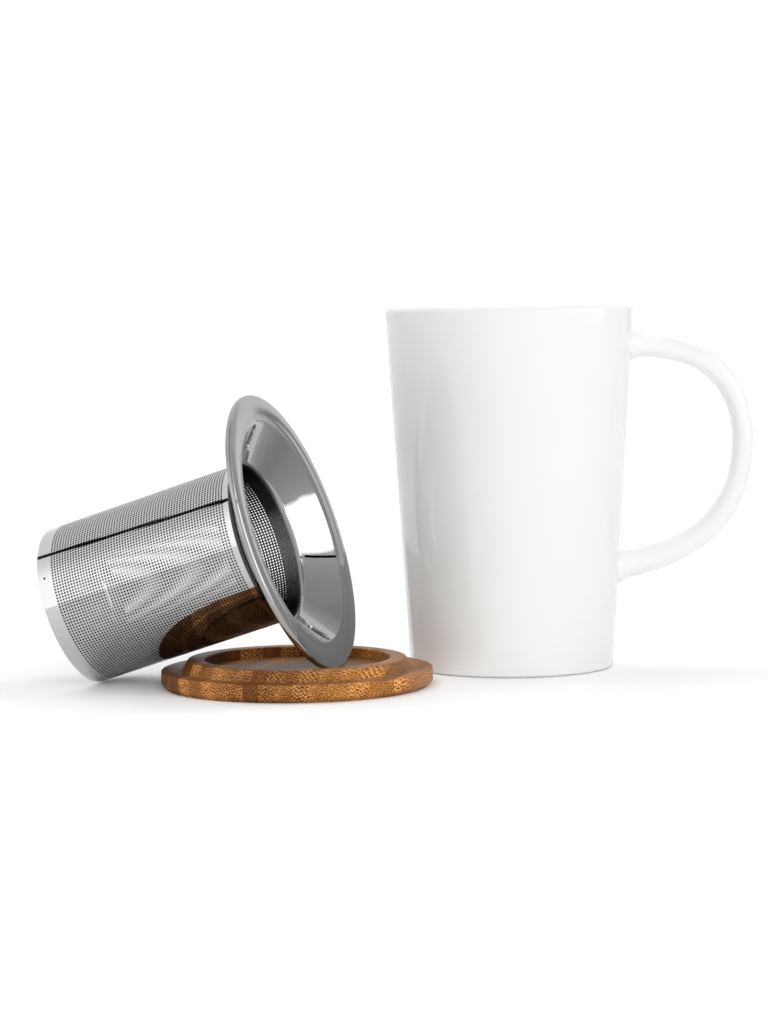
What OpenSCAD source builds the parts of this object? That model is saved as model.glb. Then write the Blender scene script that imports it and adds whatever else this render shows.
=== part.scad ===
// Porcelain tea mug with a lift-out steel infuser and a loose turned bamboo lid.
// The mug stands on its foot. The lid lies in front of it with its locating ring up, and
// the infuser leans in the lid's recess, with the edge of its base on the table.
// Millimetres, +Z up. The origin is the centre of the mug's foot, on the table,
// with the handle towards +X.

/* [Mug] */
// Height of the rim above the table
mug_h = 123.7; // [118:0.1:134]
// Outside radius of the wall at the foot
mug_foot_r = 35; // [33.5:0.1:36.5]
// Outside radius of the rim
mug_rim_r = 42.5; // [41.5:0.1:44.5]
// Thickness of the wall
mug_wall = 3.4; // [2.8:0.1:3.8]
// Thickness of the floor above the foot's hollow
mug_floor = 4.2; // [3.4:0.1:6]
// Radius of the corner between the floor and the wall inside
mug_inner_round = 7; // [4:0.1:10]
// Radius of the corner outside at the foot
foot_round = 1.2; // [0.6:0.1:2]
// Width of the ring that the mug stands on
foot_ring_w = 2.6; // [2:0.1:4]
// Depth of the hollow inside that ring
foot_hollow = 1.1; // [0.6:0.1:1.6]

/* [Handle] */
// Height of the upper joint's centre line
handle_top_z = 110.2; // [104:0.1:111]
// Height of the lower joint's centre line
handle_low_z = 33.8; // [30:0.1:42]
// Distance from the mug's axis to the handle's centre line where it is farthest out
handle_reach = 80.1; // [76:0.1:88]
// Height at which the handle is farthest out
handle_belly_z = 77.6; // [72:0.1:84]
// Slope of the upper end, in degrees above level
handle_top_slope = 2.5; // [0:0.1:6]
// Slope of the lower end, in degrees above level
handle_low_slope = 11.8; // [8:0.1:18]
// Thickness, seen from the side, at the upper joint
handle_top_t = 8; // [7:0.1:9.5]
// Thickness, seen from the side, where the handle is farthest out
handle_belly_t = 7; // [6:0.1:9]
// Thickness, seen from the side, at the lower joint
handle_low_t = 9.1; // [8:0.1:11]
// Width across the handle
handle_w = 11; // [9:0.1:14]
// How much wider and thicker the handle grows at its joints
handle_flare = 2.4; // [1:0.1:3.5]

/* [Lid] */
// Radius of the disc that covers the mug
lid_r = 44.7; // [43:0.1:46]
// Thickness of that disc
lid_disc_h = 5.8; // [5:0.1:6.6]
// Height of the locating ring above the disc
lid_ring_h = 3.4; // [2.8:0.1:3.8]
// Free space between the ring's base and the mug's mouth
lid_fit = 0.9; // [0.6:0.1:1.4]
// How much narrower the ring is at its top than at its base
lid_ring_taper = 2.2; // [1.4:0.1:3]
// Width of the ring's top face
lid_ring_top_w = 5.5; // [4.5:0.1:6.5]
// Chamfer round the disc's outer face
lid_chamfer = 1.7; // [0.8:0.1:2]
// Radius of the soft edges of the disc and ring
lid_edge = 0.4; // [0.2:0.05:0.6]
// Direction of the bamboo strips, in degrees from +X
grain_dir = 70; // [0:1:180]
// Bamboo strips side by side across the lid, counting the parts of one at its two sides
strips_across = 17.3; // [17:0.1:17.8]
// How far the glue lines lie off the lid's centre, as a share of a strip's width
strip_shift = 0.14; // [0:0.02:0.2]

/* [Infuser] */
// How far the flange reaches past the mug's rim
flange_overhang = 4.7; // [4:0.1:6.5]
// Width of the flange's lip, from its edge to the funnel
flange_lip_w = 9.2; // [8.6:0.1:10]
// Crown of the lip above its two edges
flange_crown = 0.3; // [0.3:0.1:1]
// Depth of the funnel below the flange
funnel_depth = 9.2; // [8:0.1:11]
// Thickness of the flange and funnel sheet
collar_t = 0.6; // [0.5:0.05:0.8]
// Radius of the flange's rolled edge
lip_roll = 1; // [0.8:0.1:1.4]
// Radius of the bends at the funnel's two ends
funnel_bend = 2; // [1.4:0.1:2.6]
// Length of the plain neck below the funnel
neck_h = 6.2; // [5:0.1:8]
// Outside radius of the basket
basket_r = 26.9; // [24.5:0.1:27.4]
// Thickness of the basket's perforated sheet
basket_t = 0.5; // [0.4:0.05:0.6]
// Overall length from the top of the flange to the lower edge
infuser_len = 81.2; // [78:0.1:88]
// Gap between sheets where they are spot-welded together
weld_gap = 0.05; // [0.02:0.01:0.08]
// Height of the base cup's wall
base_wall_h = 4; // [3:0.1:5]
// How far the base sits up inside the wall's lower edge
base_inset = 0.4; // [0.2:0.1:1]
// Size of each pressed thumb dimple, across
dimple_w = 4.4; // [3.6:0.1:5]
// Length of each dimple along the funnel
dimple_len = 9; // [7:0.1:10]
// Depth of each dimple
dimple_depth = 0.9; // [0.6:0.1:1.2]
// Direction of the line through both dimples, in degrees from the infuser's lowest side
dimple_dir = 3; // [-10:1:10]
// Place of each dimple's middle along the funnel, from 0 at the neck to 1 at the flange
dimple_place = 0.68; // [0.5:0.01:0.72]

/* [Perforation] */
// Diameter of the holes in the basket's wall
hole_d = 2.4; // [1.6:0.1:2.8]
// Rows of holes along the basket
hole_rows = 12; // [8:1:13]
// Holes in each row
hole_cols = 36; // [24:1:38]
// Plain band left at each end of the perforation
plain_band = 5.4; // [5:0.1:7]
// Diameter of the holes in the base
base_hole_d = 1.8; // [1:0.1:2]
// Pitch of the square grid of holes in the base
base_hole_pitch = 3.6; // [3.4:0.1:5]
// Diameter of the single vent hole in the wall's lower band
vent_d = 0.9; // [0.6:0.1:1.2]
// Height of that hole above the lower edge
vent_z = 2.4; // [1.6:0.1:3]
// Direction of that hole, in degrees from the infuser's lowest side
vent_dir = 245; // [0:5:355]

/* [Layout] */
// Space on the table between the mug's foot and the lid's edge
lid_gap = 6.2; // [5:0.1:40]
// Direction from the mug to the lid, in degrees from +X
lid_dir = 212; // [200:0.5:225]
// Distance from the lid's centre to the point where the flange stands
lean_r = 15.4; // [13:0.1:17]
// Direction to that point, in degrees from +X
lean_dir = -31; // [-36:0.5:-12]
// Direction in which the infuser's mouth points, in degrees from +X
infuser_yaw = -16; // [-22:0.5:-10]

/* [Hidden] */
$fn = 96;
STRIP_COUNT = 18;
STRIP_NAMES = [for (i = [1 : STRIP_COUNT]) str("lid_strip_", i < 10 ? "0" : "", i)];

// Mug: the wall runs straight from the foot's round corner to the rim's round edge.
rim_round = mug_wall / 2;
mug_mouth_r = mug_rim_r - mug_wall;
mug_floor_z = foot_hollow + mug_floor;
mug_top_z = mug_h - rim_round;
mug_slope = (mug_rim_r - mug_foot_r) / (mug_top_z - foot_round);

// Handle: its two roots start half way into the mug's wall. The runs are the lengths of the
// four control arms: at the upper root, above and below the belly, and at the lower root.
handle_top_x = mug_outer_r(handle_top_z) - mug_wall / 2;
handle_low_x = mug_outer_r(handle_low_z) - mug_wall / 2;
handle_runs = [31.5, 16.3, 38, 10];
flare_reach = 1.5;
handle_steps = 20;
handle_sides = 24;

// Lid
lid_ring_base_r = mug_mouth_r - lid_fit;
lid_ring_top_r = lid_ring_base_r - lid_ring_taper;
lid_recess_r = lid_ring_top_r - lid_ring_top_w;
lid_h = lid_disc_h + lid_ring_h;
strip_w = 2 * lid_r / strips_across;

// Infuser, in its own frame: its axis is Z, its lower edge is at z = 0, and +X is the side
// that comes to lie lowest.
flange_r = mug_rim_r + flange_overhang;
funnel_top_r = flange_r - flange_lip_w;
funnel_top_z = infuser_len - flange_crown;
funnel_low_z = funnel_top_z - funnel_depth;
neck_r = basket_r - basket_t - weld_gap;
neck_low_z = funnel_low_z - neck_h;
basket_top_z = funnel_low_z - funnel_bend / 2;
funnel_slope = atan2(funnel_depth, funnel_top_r - neck_r);
wall_cut = 3 * basket_t;

// Layout: the infuser tips until the flange's edge stands in the lid's recess and its lower
// edge on the table.
rest_gap = 0.15;
lid_dist = mug_foot_r + lid_r + lid_gap;
lid_xy = lid_dist * [cos(lid_dir), sin(lid_dir)];
lean_xy = lid_xy + lean_r * [cos(lean_dir), sin(lean_dir)];
lean_z = lid_disc_h + rest_gap + lip_roll;
lip_edge = [flange_r - lip_roll, infuser_len - lip_roll];
edge_step = [lip_edge[1], lip_edge[0] - basket_r];
infuser_tilt = atan2(edge_step[1], edge_step[0]) + asin(lean_z / norm(edge_step));

function mug_outer_r(z) = mug_foot_r + mug_slope * (z - foot_round);
function unit(v) = v / norm(v);
function mix(a, b, t) = a + (b - a) * t;
function ease(t) = t * t * (3 - 2 * t);
function left_of(v) = [-v[1], v[0]];
function reverse(list) = [for (i = [len(list) - 1 : -1 : 0]) list[i]];
function bezier(p, t) = pow(1 - t, 3) * p[0] + 3 * pow(1 - t, 2) * t * p[1]
    + 3 * (1 - t) * t * t * p[2] + pow(t, 3) * p[3];
function arc(c, r, from, to, steps) =
    [for (i = [0 : steps]) c + r * [cos(mix(from, to, i / steps)), sin(mix(from, to, i / steps))]];

// A round bend of radius r that replaces the corner at b on the way from a to c.
function bend(a, b, c, r, steps) =
    let (u = unit(a - b), v = unit(c - b), half = acos(u * v) / 2,
         m = b + unit(u + v) * r / sin(half), s = b + u * r / tan(half) - m,
         turn = (180 - 2 * half) * (u[0] * v[1] - u[1] * v[0] < 0 ? 1 : -1),
         from = atan2(s[1], s[0]))
    arc(m, r, from, from + turn, steps);

// The outline of a sheet of thickness t whose middle follows the path p.
function path_normal(p, i) =
    left_of(unit(p[min(i + 1, len(p) - 1)] - p[max(i - 1, 0)]));
function sheet(p, t) = concat(
    [for (i = [0 : len(p) - 1]) p[i] + path_normal(p, i) * t / 2],
    reverse([for (i = [0 : len(p) - 1]) p[i] - path_normal(p, i) * t / 2]));

// The mug's outside as one plain cone, which also trims the handle's roots.
module mug_cone() {
    translate([0, 0, foot_round])
        cylinder(h = mug_top_z - foot_round, r1 = mug_foot_r, r2 = mug_rim_r);
}

module mug_body() {
    round_z = mug_floor_z + mug_inner_round;
    round_r = mug_outer_r(round_z) - mug_wall - mug_inner_round;
    profile = concat(
        [[0, foot_hollow], [mug_foot_r - foot_ring_w - foot_hollow, foot_hollow],
         [mug_foot_r - foot_ring_w, 0]],
        arc([mug_foot_r - foot_round, foot_round], foot_round, -90, 0, 5),
        arc([mug_rim_r - rim_round, mug_top_z], rim_round, 0, 180, 10),
        arc([round_r, round_z], mug_inner_round, 0, -90, 8),
        [[0, mug_floor_z]]);
    color("white") rotate_extrude() polygon(profile);
}

// The handle's centre line in the plane y = 0: t = 0 at the upper root, 1 at the belly and
// 2 at the lower root.
function handle_point(t) =
    let (top = [handle_top_x, handle_top_z], low = [handle_low_x, handle_low_z],
         belly = [handle_reach, handle_belly_z],
         top_arm = handle_runs[0] * [cos(handle_top_slope), sin(handle_top_slope)],
         low_arm = handle_runs[3] * [cos(handle_low_slope), sin(handle_low_slope)])
    t < 1
        ? bezier([top, top + top_arm, belly + [0, handle_runs[1]], belly], t)
        : bezier([belly, belly - [0, handle_runs[2]], low + low_arm, low], t - 1);
function handle_along(t) = unit(handle_point(min(t + 0.01, 2)) - handle_point(max(t - 0.01, 0)));
function handle_swell(t) =
    let (p = handle_point(t))
    handle_flare * exp(-max(0, p[0] - mug_outer_r(p[1])) / flare_reach);
function handle_thick(t) = t < 1
    ? mix(handle_top_t, handle_belly_t, ease(t))
    : mix(handle_belly_t, handle_low_t, ease(t - 1));
function handle_ring(t) =
    let (c = handle_point(t), across = left_of(handle_along(t)),
         a = (handle_thick(t) + handle_swell(t)) / 2, b = (handle_w + handle_swell(t)) / 2)
    [for (j = [0 : handle_sides - 1])
        let (turn = 360 * j / handle_sides, q = c + a * cos(turn) * across)
        [q[0], b * sin(turn), q[1]]];

module mug_handle() {
    last = 2 * handle_steps;
    points = [for (i = [0 : last]) each handle_ring(i / handle_steps)];
    sides = [for (i = [0 : last - 1], j = [0 : handle_sides - 1])
        let (a = i * handle_sides + j, b = i * handle_sides + (j + 1) % handle_sides)
        [a, a + handle_sides, b + handle_sides, b]];
    first_cap = [for (j = [0 : handle_sides - 1]) j];
    last_cap = reverse([for (j = [0 : handle_sides - 1]) last * handle_sides + j]);
    color("white") difference() {
        polyhedron(points, concat(sides, [first_cap, last_cap]));
        mug_cone();
    }
}

// The whole turned lid, as it lies: outer face down, ring and recess up.
module lid_blank() {
    profile = concat(
        [[0, 0], [lid_r - lid_chamfer, 0], [lid_r, lid_chamfer]],
        arc([lid_r - lid_edge, lid_disc_h - lid_edge], lid_edge, 0, 90, 3),
        [[lid_ring_base_r, lid_disc_h]],
        arc([lid_ring_top_r - lid_edge, lid_h - lid_edge], lid_edge, 15, 90, 3),
        arc([lid_recess_r + lid_edge, lid_h - lid_edge], lid_edge, 90, 180, 3),
        [[lid_recess_r, lid_disc_h], [0, lid_disc_h]]);
    rotate_extrude($fn = 180) polygon(profile);
}

// Where strip i begins, across the strips. The first and last ones run out past the rim.
function strip_edge(i) =
    i == 0 ? -lid_r - 1 :
    i == STRIP_COUNT ? lid_r + 1 : (i - STRIP_COUNT / 2 - strip_shift) * strip_w;

// One glued strip of the lid: the turned blank between two parallel planes.
module lid_strip(i) {
    tones = ["peru", "sienna", "saddlebrown"];
    color(tones[i % len(tones)]) translate([lid_xy[0], lid_xy[1], 0]) intersection() {
        lid_blank();
        rotate([0, 0, grain_dir - 90])
            translate([strip_edge(i), -lid_r - 1, -1])
                cube([strip_edge(i + 1) - strip_edge(i), 2 * lid_r + 2, lid_h + 2]);
    }
}

// Puts a piece of the infuser where it leans, from the infuser's own upright frame.
module leaning() {
    tip = 90 - infuser_tilt;
    reach = lip_edge[1] * sin(tip) + lip_edge[0] * cos(tip);
    drop = lip_edge[1] * cos(tip) - lip_edge[0] * sin(tip);
    translate([lean_xy[0], lean_xy[1], lean_z - drop])
        rotate([0, 0, infuser_yaw])
            translate([-reach, 0, 0])
                rotate([0, tip, 0])
                    children();
}

// The middle of the collar's sheet, from the neck's lower edge to the flange's rolled edge.
function collar_path() =
    let (t = collar_t / 2, low = [neck_r - t, neck_low_z], mouth = [neck_r - t, funnel_low_z],
         crest = [funnel_top_r, funnel_top_z - t], roll = lip_roll - t,
         edge = [flange_r - lip_roll, infuser_len - lip_roll],
         lip_steps = 6, lip_end = edge + [0, roll])
    concat([low], bend(low, mouth, crest, funnel_bend, 4),
        bend(mouth, crest, crest + [1, 0], funnel_bend, 4),
        [for (i = [1 : lip_steps - 1])
            mix(crest + [funnel_bend, 0], lip_end, i / lip_steps)
                + [0, flange_crown * sin(180 * i / lip_steps) / 2]],
        arc(edge, roll, 90, -60, 6));

// A round-ended bar of radius r along Z, centred on the origin.
module capsule(r, length) {
    straight = length - 2 * r;
    translate([0, 0, -straight / 2]) cylinder(h = straight, r = r, $fn = 32);
    for (end = [-1, 1])
        translate([0, 0, end * straight / 2]) sphere(r = r, $fn = 32);
}

// Bars that lie along the funnel on opposite sides, sunk into its face by the dimples' depth.
module dimple_bars(grow) {
    r = dimple_w / 2;
    middle = mix([neck_r, funnel_low_z], [funnel_top_r, funnel_top_z], dimple_place);
    up = [-sin(funnel_slope), cos(funnel_slope)];
    centre = middle + up * (r - dimple_depth);
    for (side = [0, 180])
        rotate([0, 0, dimple_dir + side])
            translate([centre[0], 0, centre[1]])
                rotate([0, 90 - funnel_slope, 0])
                    capsule(r + grow, dimple_len + 2 * grow);
}

// Flange, funnel and neck, pressed from one sheet, with the two thumb dimples.
module infuser_collar() {
    path = collar_path();
    color("silver") leaning() difference() {
        union() {
            rotate_extrude() polygon(sheet(path, collar_t));
            difference() {
                dimple_bars(collar_t);
                rotate_extrude()
                    polygon(concat([[0, neck_low_z]], path, [[flange_r, infuser_len + dimple_len],
                        [0, infuser_len + dimple_len]]));
            }
        }
        dimple_bars(0);
    }
}

// The vent hole through the wall's lower band and the base cup's wall.
module vent() {
    translate([0, 0, vent_z]) rotate([0, 90, vent_dir])
        translate([0, 0, basket_r - wall_cut]) cylinder(h = 2 * wall_cut, d = vent_d, $fn = 24);
}

// The perforated wall of the basket.
module infuser_basket() {
    low_z = plain_band + hole_d / 2;
    high_z = basket_top_z - plain_band - hole_d / 2;
    color("lightgray") leaning() difference() {
        cylinder(h = basket_top_z, r = basket_r);
        translate([0, 0, -1]) cylinder(h = basket_top_z + 2, r = basket_r - basket_t);
        for (row = [0 : hole_rows - 1], col = [0 : hole_cols - 1])
            translate([0, 0, mix(low_z, high_z, row / (hole_rows - 1))])
                rotate([0, 90, 360 * col / hole_cols])
                    translate([0, 0, basket_r - wall_cut])
                        cylinder(h = 2 * wall_cut, d = hole_d, $fn = 16);
        vent();
    }
}

// The perforated base: a shallow cup inside the wall's lower edge.
module infuser_base() {
    field_r = neck_r - base_hole_pitch;
    reach = floor(field_r / base_hole_pitch);
    color("lightgray") leaning() difference() {
        translate([0, 0, base_inset]) cylinder(h = base_wall_h, r = neck_r);
        translate([0, 0, base_inset + basket_t])
            cylinder(h = base_wall_h, r = neck_r - basket_t);
        for (i = [-reach : reach], j = [-reach : reach])
            if (norm([i, j]) * base_hole_pitch <= field_r)
                translate([i * base_hole_pitch, j * base_hole_pitch, 0])
                    cylinder(h = base_inset + 2 * basket_t, d = base_hole_d, $fn = 16);
        vent();
    }
}

mug_body();
mug_handle();
infuser_collar();
infuser_basket();
infuser_base();
for (i = [0 : STRIP_COUNT - 1])
    lid_strip(i);
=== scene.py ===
import math

import bmesh
import bpy
import numpy as np
from mathutils import Matrix, Vector


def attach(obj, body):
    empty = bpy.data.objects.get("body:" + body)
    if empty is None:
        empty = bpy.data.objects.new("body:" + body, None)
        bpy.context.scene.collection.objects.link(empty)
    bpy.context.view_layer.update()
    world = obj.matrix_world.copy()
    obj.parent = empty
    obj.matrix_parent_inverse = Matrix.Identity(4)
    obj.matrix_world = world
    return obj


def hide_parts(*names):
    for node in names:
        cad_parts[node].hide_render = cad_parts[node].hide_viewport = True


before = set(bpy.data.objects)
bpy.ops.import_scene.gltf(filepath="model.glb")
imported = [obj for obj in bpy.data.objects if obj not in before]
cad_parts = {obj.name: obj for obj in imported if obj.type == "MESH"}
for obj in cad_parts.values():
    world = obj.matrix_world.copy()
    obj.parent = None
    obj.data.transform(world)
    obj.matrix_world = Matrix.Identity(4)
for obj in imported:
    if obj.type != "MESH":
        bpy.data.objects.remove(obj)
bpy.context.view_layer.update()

MM = 0.001

# ---------------------------------------------------------------- sizes, as in the model
MUG_H, MUG_FOOT_R, MUG_RIM_R, MUG_WALL = 123.7, 35.0, 42.5, 3.4
MUG_FLOOR, MUG_INNER_ROUND, FOOT_ROUND = 4.2, 7.0, 1.2
FOOT_RING_W, FOOT_HOLLOW = 2.6, 1.1
HANDLE_TOP_Z, HANDLE_LOW_Z, HANDLE_REACH, HANDLE_BELLY_Z = 110.2, 33.8, 80.1, 77.6
HANDLE_TOP_SLOPE, HANDLE_LOW_SLOPE = 2.5, 11.8
HANDLE_TOP_T, HANDLE_BELLY_T, HANDLE_LOW_T = 8.0, 7.0, 9.1
HANDLE_W, HANDLE_FLARE, FLARE_REACH = 11.0, 2.4, 1.5
HANDLE_RUNS = (31.5, 16.3, 38.0, 10.0)

LID_R, LID_DISC_H, LID_RING_H, LID_FIT = 44.7, 5.8, 3.4, 0.9
LID_RING_TAPER, LID_RING_TOP_W, LID_CHAMFER, LID_EDGE = 2.2, 5.5, 1.7, 0.4
GRAIN_DIR, STRIPS_ACROSS, STRIP_SHIFT, STRIP_COUNT = 70.0, 17.3, 0.14, 18

FLANGE_OVERHANG, FLANGE_LIP_W, FLANGE_CROWN, FUNNEL_DEPTH = 4.7, 9.2, 0.3, 9.2
COLLAR_T, LIP_ROLL, FUNNEL_BEND, NECK_H = 0.6, 1.0, 2.0, 6.2
BASKET_R, BASKET_T, INFUSER_LEN, WELD_GAP = 26.9, 0.5, 81.2, 0.05
BASE_WALL_H, BASE_INSET = 4.0, 0.4
DIMPLE_W, DIMPLE_LEN, DIMPLE_DEPTH, DIMPLE_DIR, DIMPLE_PLACE = 4.4, 9.0, 0.9, 3.0, 0.68
VENT_D, VENT_Z, VENT_DIR = 0.9, 2.4, 245.0

LID_GAP, LID_DIR, LEAN_R, LEAN_DIR, INFUSER_YAW, REST_GAP = 6.2, 212.0, 15.4, -31.0, -16.0, 0.15

RIM_ROUND = MUG_WALL / 2
MUG_TOP_Z = MUG_H - RIM_ROUND
MUG_SLOPE = (MUG_RIM_R - MUG_FOOT_R) / (MUG_TOP_Z - FOOT_ROUND)
LID_RING_BASE_R = MUG_RIM_R - MUG_WALL - LID_FIT
LID_RING_TOP_R = LID_RING_BASE_R - LID_RING_TAPER
LID_RECESS_R = LID_RING_TOP_R - LID_RING_TOP_W
LID_H = LID_DISC_H + LID_RING_H
STRIP_W = 2 * LID_R / STRIPS_ACROSS
FLANGE_R = MUG_RIM_R + FLANGE_OVERHANG
FUNNEL_TOP_R = FLANGE_R - FLANGE_LIP_W
FUNNEL_TOP_Z = INFUSER_LEN - FLANGE_CROWN
FUNNEL_LOW_Z = FUNNEL_TOP_Z - FUNNEL_DEPTH
NECK_R = BASKET_R - BASKET_T - WELD_GAP
NECK_LOW_Z = FUNNEL_LOW_Z - NECK_H
BASKET_TOP_Z = FUNNEL_LOW_Z - FUNNEL_BEND / 2


def polar(r, degrees):
    return np.array([r * math.cos(math.radians(degrees)), r * math.sin(math.radians(degrees))])


# The infuser tips until the flange's edge stands in the lid's recess and its lower edge on the table.
LID_XY = polar(MUG_FOOT_R + LID_R + LID_GAP, LID_DIR)
LEAN_XY = LID_XY + polar(LEAN_R, LEAN_DIR)
LEAN_Z = LID_DISC_H + REST_GAP + LIP_ROLL
LIP_EDGE = np.array([FLANGE_R - LIP_ROLL, INFUSER_LEN - LIP_ROLL])
EDGE_STEP = np.array([LIP_EDGE[1], LIP_EDGE[0] - BASKET_R])
TILT = math.atan2(EDGE_STEP[1], EDGE_STEP[0]) + math.asin(LEAN_Z / np.linalg.norm(EDGE_STEP))
TIP = math.pi / 2 - TILT
TIP_REACH = LIP_EDGE[1] * math.sin(TIP) + LIP_EDGE[0] * math.cos(TIP)
TIP_DROP = LIP_EDGE[1] * math.cos(TIP) - LIP_EDGE[0] * math.sin(TIP)
INFUSER = (
    Matrix.Translation((LEAN_XY[0], LEAN_XY[1], LEAN_Z - TIP_DROP))
    @ Matrix.Rotation(math.radians(INFUSER_YAW), 4, "Z")
    @ Matrix.Translation((-TIP_REACH, 0, 0))
    @ Matrix.Rotation(TIP, 4, "Y")
)


# ---------------------------------------------------------------- mesh helpers
ON_AXIS = 1e-6


def arc(centre, r, start, end, steps):
    t = np.radians(np.linspace(start, end, steps + 1))
    return np.stack([centre[0] + r * np.cos(t), centre[1] + r * np.sin(t)], 1)


def line(a, b, steps):
    """Points from a to b, without b, crowded towards both ends."""
    t = (1 - np.cos(np.linspace(0, math.pi, steps + 1)[:-1])) / 2
    return np.asarray(a)[None] + t[:, None] * (np.asarray(b) - np.asarray(a))[None]


def unit(v):
    v = np.asarray(v, float)
    return v / np.linalg.norm(v)


def bend(a, b, c, r, steps):
    """A round bend of radius r in place of the corner at b, on the way from a to c."""
    a, b, c = (np.asarray(p, float) for p in (a, b, c))
    u, v = unit(a - b), unit(c - b)
    half = math.acos(float(np.dot(u, v))) / 2
    m = b + unit(u + v) * r / math.sin(half)
    s = b + u * r / math.tan(half) - m
    turn = (180 - 2 * math.degrees(half)) * (1 if u[0] * v[1] - u[1] * v[0] < 0 else -1)
    start = math.degrees(math.atan2(s[1], s[0]))
    return arc(m, r, start, start + turn, steps)


def ease(t):
    return t * t * (3 - 2 * t)


def revolve(profile, turns, closed):
    """Vertices and faces of a profile of (r, z) points turned round Z by the angles in turns.
    A point on the axis becomes one vertex."""
    verts, rows = [], []
    for r, z in profile:
        if r < ON_AXIS:
            rows.append([len(verts)] * len(turns))
            verts.append((0, 0, z))
        else:
            rows.append(list(range(len(verts), len(verts) + len(turns))))
            verts.extend((r * math.cos(t), r * math.sin(t), z) for t in turns)
    pairs = list(zip(rows, rows[1:])) + ([(rows[-1], rows[0])] if closed else [])
    faces = []
    for low, high in pairs:
        for j in range(len(turns)):
            k = (j + 1) % len(turns)
            ring = [low[j], low[k], high[k], high[j]]
            ring = [v for n, v in enumerate(ring) if v not in ring[:n]]
            if len(ring) > 2:
                faces.append(ring)
    return verts, faces


def full_turn(count):
    return [2 * math.pi * j / count for j in range(count)]


def add_piece(
    name, verts, faces, body, nodes, materials, sharp=30.0, place=None, outward=True, shades=None
):
    """Makes a piece of the scene from a mesh in millimetres. Edges sharper than sharp stay sharp,
    outward turns the faces' fronts outwards, and shades gives each face's material."""
    mesh = bpy.data.meshes.new(name)
    mesh.from_pydata(np.asarray(verts, float).tolist(), [], faces)
    for material in materials:
        mesh.materials.append(material)
    if shades is not None:
        mesh.polygons.foreach_set("material_index", shades)
    if place is not None:
        mesh.transform(place)
    mesh.transform(Matrix.Scale(MM, 4))
    if outward:
        bm = bmesh.new()
        bm.from_mesh(mesh)
        bmesh.ops.recalc_face_normals(bm, faces=bm.faces)
        bm.to_mesh(mesh)
        bm.free()
    mesh.shade_smooth()
    mesh.set_sharp_from_angle(angle=math.radians(sharp))
    piece = bpy.data.objects.new(name, mesh)
    bpy.context.scene.collection.objects.link(piece)
    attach(piece, body)
    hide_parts(*nodes)


# ---------------------------------------------------------------- material helpers
class Finish:
    """A node material on one Principled shader, with short calls for its nodes."""

    def __init__(self, name):
        self.material = bpy.data.materials.new(name)
        self.material.use_nodes = True
        self.nodes = self.material.node_tree.nodes
        self.links = self.material.node_tree.links
        self.shader = self.nodes["Principled BSDF"]
        self.coords = self.nodes.new("ShaderNodeTexCoord")

    def add(self, kind, inputs=(), **options):
        node = self.nodes.new(kind)
        for key, value in options.items():
            setattr(node, key, value)
        for key, value in dict(inputs).items():
            self.put(node.inputs[key], value)
        return node

    def put(self, socket, value):
        if isinstance(value, bpy.types.NodeSocket):
            self.links.new(value, socket)
        else:
            socket.default_value = value

    def set(self, **inputs):
        for key, value in inputs.items():
            self.put(self.shader.inputs[key.replace("_", " ")], value)

    def math(self, operation, a, b=0.0):
        return self.add("ShaderNodeMath", {0: a, 1: b}, operation=operation).outputs[0]

    def vector(self, operation, a, b):
        node = self.add("ShaderNodeVectorMath", {0: a, 1: b}, operation=operation)
        return node.outputs["Value" if operation == "DOT_PRODUCT" else 0]

    def step(self, value, low, high, out_low=0.0, out_high=1.0):
        """Runs smoothly from out_low to out_high while value goes from low to high."""
        inputs = {"Value": value, "From Min": low, "From Max": high, "To Min": out_low, "To Max": out_high}
        return self.add("ShaderNodeMapRange", inputs, interpolation_type="SMOOTHSTEP").outputs[0]

    def mix(self, factor, a, b, blend="MIX"):
        node = self.add("ShaderNodeMix", data_type="RGBA", blend_type=blend)
        self.put(node.inputs[0], factor)
        self.put(node.inputs[6], a if isinstance(a, bpy.types.NodeSocket) else (*a, 1))
        self.put(node.inputs[7], b if isinstance(b, bpy.types.NodeSocket) else (*b, 1))
        return node.outputs[2]

    def mapped(self, scale=(1, 1, 1), turn=(0, 0, 0), shift=(0, 0, 0)):
        """The piece's own coordinates in millimetres, scaled, turned and shifted."""
        inputs = {
            "Vector": self.coords.outputs["Object"],
            "Scale": tuple(1000 * s for s in scale),
            "Rotation": turn,
            "Location": shift,
        }
        return self.add("ShaderNodeMapping", inputs).outputs[0]

    def noise(self, vector, scale, detail=2.0, roughness=0.5):
        inputs = {"Vector": vector, "Scale": scale, "Detail": detail, "Roughness": roughness}
        return self.add("ShaderNodeTexNoise", inputs).outputs[0]

    def bump(self, height, distance, strength=1.0, under=None):
        inputs = {"Height": height, "Distance": distance, "Strength": strength}
        if under is not None:
            inputs["Normal"] = under
        return self.add("ShaderNodeBump", inputs).outputs[0]


# ---------------------------------------------------------------- porcelain
GLAZE_TONES = ((0.862, 0.874, 0.862), (0.890, 0.900, 0.888))
SPECK_TONE, BARE_CLAY = (0.80, 0.79, 0.76), (0.74, 0.72, 0.68)
GLAZE_IOR = 1.52
# The glaze thins out between these heights above the table, so the foot ring is bare.
GLAZE_FROM_Z, BARE_BELOW_Z = 0.55, 0.25
MUG_SIDES = 192


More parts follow.
